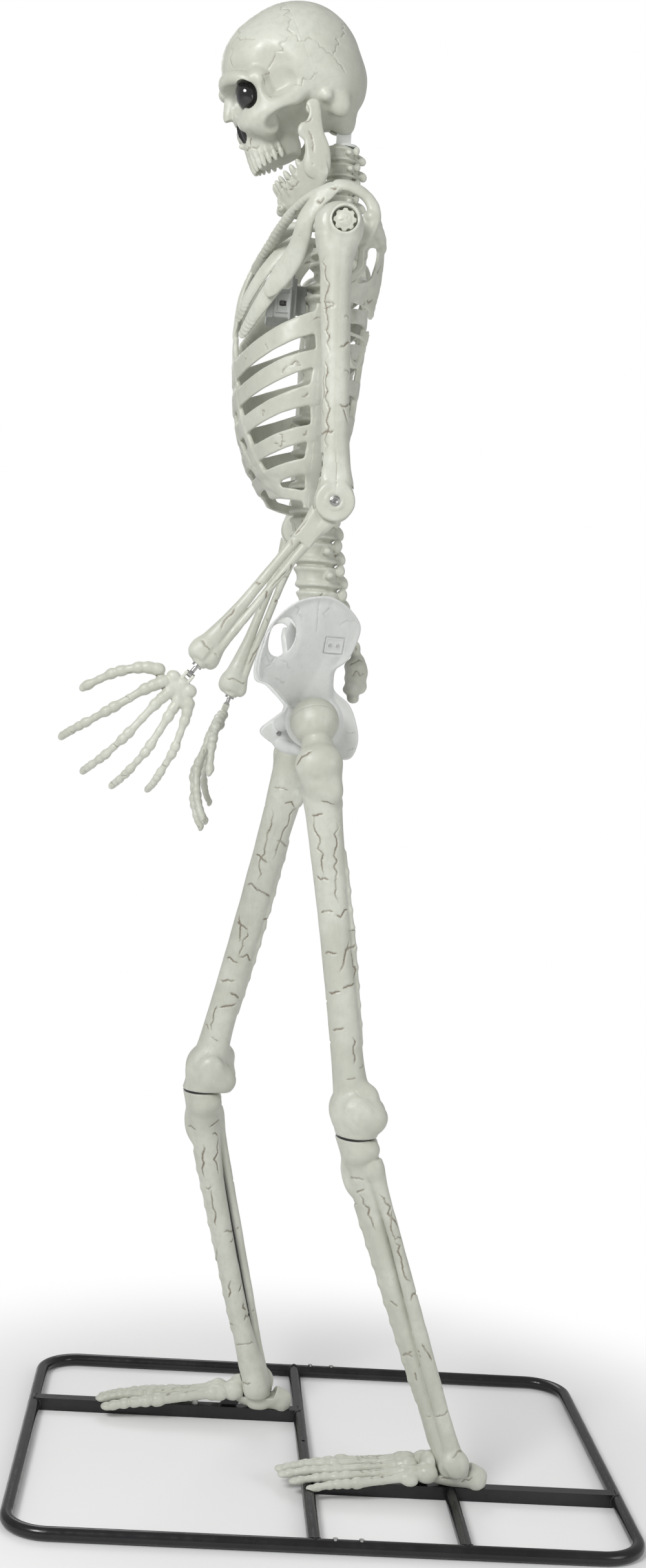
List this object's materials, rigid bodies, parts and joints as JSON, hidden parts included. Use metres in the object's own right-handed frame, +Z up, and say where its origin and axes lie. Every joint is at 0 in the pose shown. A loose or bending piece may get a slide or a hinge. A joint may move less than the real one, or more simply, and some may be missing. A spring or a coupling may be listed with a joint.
{
  "type": "halloween skeleton figure",
  "caption": "Giant walking skeleton with posable head, jaw and arms, held up by steel posts on a lying rectangular tube frame.",
  "frame": {"origin": "on the floor, in the middle of the tube frame", "axes": "+Z up, the figure faces -Y, its left side is +X"},
  "size_m": [1.192, 1.498, 3.6365],
  "materials": {
    "bone": "aged bone with brown in the cracks",
    "steel": "satin black",
    "screws": "zinc plated",
    "black_gloss": "gloss black",
    "grey_plastic": "plain moulded",
    "black_plastic": "moulded"
  },
  "bodies": {
    "figure_and_stand": {"base_front_tube": "steel", "base_rear_tube": "steel", "control_box": "grey_plastic", "foot_pegs": "bone", "frame_bolts": "screws", "front_foot_bar": "steel", "hip_crossbar": "steel", "hip_plates": "bone", "left_collar_bone": "bone", "left_foot": "bone", "left_hip_bone": "bone", "left_knee_coupler": "steel", "left_lower_post": "steel", "left_shin": "bone", "left_shoulder_blade": "bone", "left_thigh": "bone", "left_upper_post": "steel", "lumbar_spine": "bone", "mid_cross_tube": "steel", "neck_spine": "bone", "pelvis_screws": "screws", "rear_brace_tube": "steel", "rear_foot_bar": "steel", "rib_cage_back": "bone", "rib_cage_front": "bone", "rib_cage_screws": "screws", "right_collar_bone": "bone", "right_foot": "bone", "right_hip_bone": "bone", "right_knee_coupler": "steel", "right_lower_post": "steel", "right_shin": "bone", "right_shoulder_blade": "bone", "right_thigh": "bone", "right_upper_post": "steel", "sacrum": "bone", "shoulder_bar": "steel", "spine_post": "steel", "thoracic_spine": "bone", "tube_sleeves": "steel"},
    "neck": {"neck_swivel": "steel"},
    "head": {"skull_front": "bone", "skull_back": "bone", "eye_panels": "black_gloss", "nose_liner": "black_gloss", "nod_pin": "screws"},
    "jaw": {"jaw": "bone"},
    "switch": {"power_switch": "black_plastic"},
    "left_arm": {"left_upper_arm": "bone", "left_elbow_bolt": "screws"},
    "left_knob": {"left_shoulder_knob": "bone"},
    "left_forearm": {"left_forearm": "bone"},
    "left_wrist": {"left_wrist_stud": "screws"},
    "left_hand": {"left_hand": "bone"},
    "right_arm": {"right_upper_arm": "bone", "right_elbow_bolt": "screws"},
    "right_knob": {"right_shoulder_knob": "bone"},
    "right_forearm": {"right_forearm": "bone"},
    "right_wrist": {"right_wrist_stud": "screws"},
    "right_hand": {"right_hand": "bone"}
  },
  "joints": [
    {"name": "head_turn", "type": "hinge", "parent": "figure_and_stand", "child": "neck", "pos_m": [0, -0.155, 3.293], "axis": [0, 0, 1], "range_deg": [-35, 35]},
    {"name": "head_nod", "type": "hinge", "parent": "neck", "child": "head", "pos_m": [0, -0.165, 3.345], "axis": [-1, 0, 0], "range_deg": [-4, 12]},
    {"name": "jaw_open", "type": "hinge", "parent": "head", "child": "jaw", "pos_m": [0, -0.246, 3.352], "axis": [-1, 0, 0], "range_deg": [-6, 10]},
    {"name": "left_shoulder_swing", "type": "hinge", "parent": "figure_and_stand", "child": "left_arm", "pos_m": [0.42, -0.166, 3.007], "axis": [-1, 0, 0], "range_deg": [-25, 100]},
    {"name": "left_knob_turn", "type": "hinge", "parent": "figure_and_stand", "child": "left_knob", "pos_m": [0.42, -0.166, 3.007], "axis": [1, 0, 0], "continuous": true},
    {"name": "left_elbow", "type": "hinge", "parent": "left_arm", "child": "left_forearm", "pos_m": [0.42, -0.14291, 2.37742], "axis": [-1, 0, 0], "range_deg": [-36, 46]},
    {"name": "left_wrist_turn", "type": "hinge", "parent": "left_forearm", "child": "left_wrist", "pos_m": [0.42, -0.44386, 1.96321], "axis": [0, -0.5878, -0.809], "range_deg": [-60, 60]},
    {"name": "left_wrist_bend", "type": "hinge", "parent": "left_wrist", "child": "left_hand", "pos_m": [0.42, -0.44386, 1.96321], "axis": [0, 0.809, -0.5878], "range_deg": [-20, 25]},
    {"name": "right_shoulder_swing", "type": "hinge", "parent": "figure_and_stand", "child": "right_arm", "pos_m": [-0.42, -0.166, 3.007], "axis": [-1, 0, 0], "range_deg": [-2, 100]},
    {"name": "right_knob_turn", "type": "hinge", "parent": "figure_and_stand", "child": "right_knob", "pos_m": [-0.42, -0.166, 3.007], "axis": [1, 0, 0], "continuous": true},
    {"name": "right_elbow", "type": "hinge", "parent": "right_arm", "child": "right_forearm", "pos_m": [-0.42, -0.18799, 2.37738], "axis": [-1, 0, 0], "range_deg": [-6, 66]},
    {"name": "right_wrist_turn", "type": "hinge", "parent": "right_forearm", "child": "right_wrist", "pos_m": [-0.42, -0.35045, 1.89184], "axis": [0, -0.3173, -0.9483], "range_deg": [-60, 60]},
    {"name": "right_wrist_bend", "type": "hinge", "parent": "right_wrist", "child": "right_hand", "pos_m": [-0.42, -0.35045, 1.89184], "axis": [1, 0, 0], "range_deg": [-20, 25]},
    {"name": "power_switch_slide", "type": "slide", "parent": "figure_and_stand", "child": "switch", "axis": [0, 1, 0], "range_m": [0, 0.004]}
  ]
}
